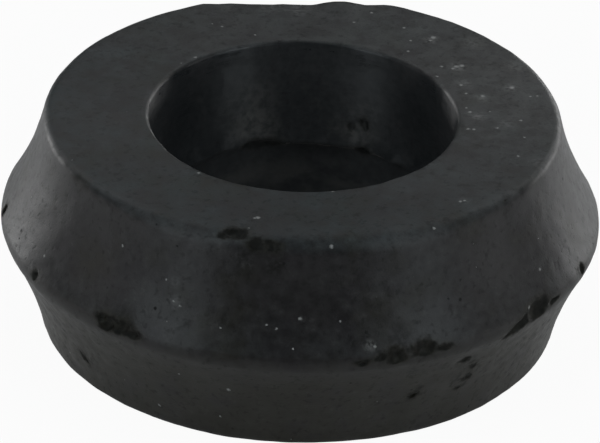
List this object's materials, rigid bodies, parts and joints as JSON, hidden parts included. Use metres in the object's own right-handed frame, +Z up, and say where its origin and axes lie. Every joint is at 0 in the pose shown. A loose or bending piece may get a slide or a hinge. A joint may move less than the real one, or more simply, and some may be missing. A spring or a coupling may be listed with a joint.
{
  "type": "tapered ring gasket",
  "caption": "Black rubber ring gasket with flat end faces, a straight bore and hollow tapered flanks that meet in a ridge at mid-height, to seal and cushion a pin in an eye.",
  "frame": {"origin": "centre of the lower end face, on the bore's axis, on the surface that the ring stands on", "axes": "+Z up along the bore, -Y to the side with the nicked upper edge, +X to the right of it"},
  "size_m": [0.042, 0.042, 0.016],
  "materials": {
    "rubber": "satin black moulded rubber, dusty and scuffed, with torn flash on the ridge"
  },
  "bodies": {
    "root": {"gasket_ring": "rubber"}
  },
  "joints": []
}
